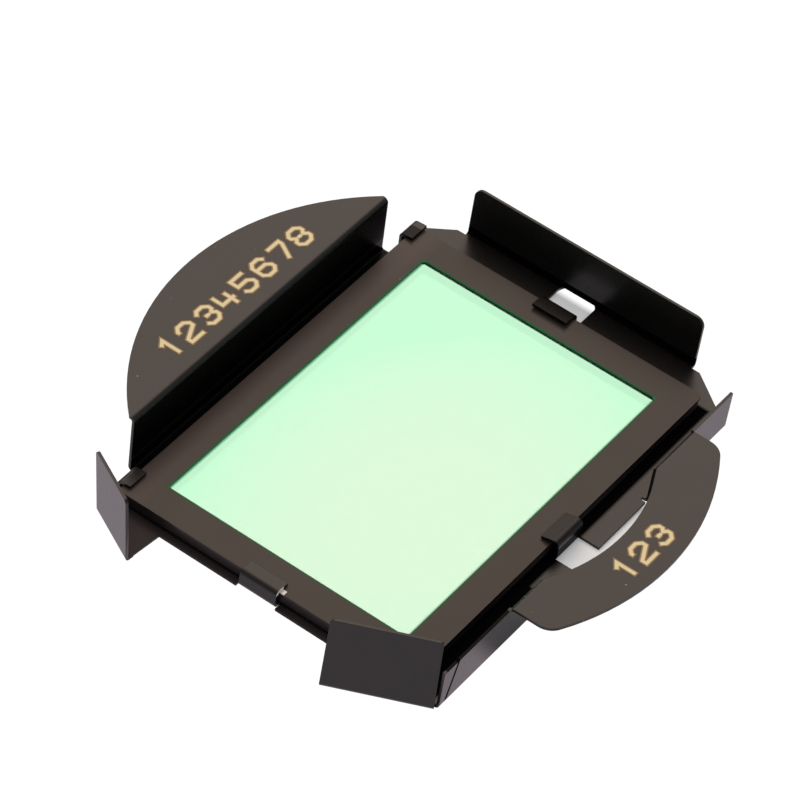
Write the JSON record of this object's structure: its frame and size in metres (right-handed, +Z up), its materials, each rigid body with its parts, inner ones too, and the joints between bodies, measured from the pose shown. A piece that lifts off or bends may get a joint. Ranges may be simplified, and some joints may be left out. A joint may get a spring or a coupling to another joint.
{
  "type": "astronomical filter",
  "caption": "Clip-in astronomical filter: a black folded sheet-metal frame holds a pale green rectangular filter glass under a thin black mask.",
  "frame": {"origin": "where the optical axis through the middle of the window meets the underside of the frame's base", "axes": "+X along the window's long side towards the tall end flap, +Y towards the large wing, +Z up from the base to the wings, along the optical axis"},
  "size_m": [0.0568, 0.0558, 0.0088],
  "materials": {
    "black_paint": "satin",
    "coated_glass": "polished",
    "black_mask": "matte"
  },
  "bodies": {
    "root": {"clip_frame": "black_paint", "filter_glass": "coated_glass", "mask_plate": "black_mask"}
  },
  "joints": []
}
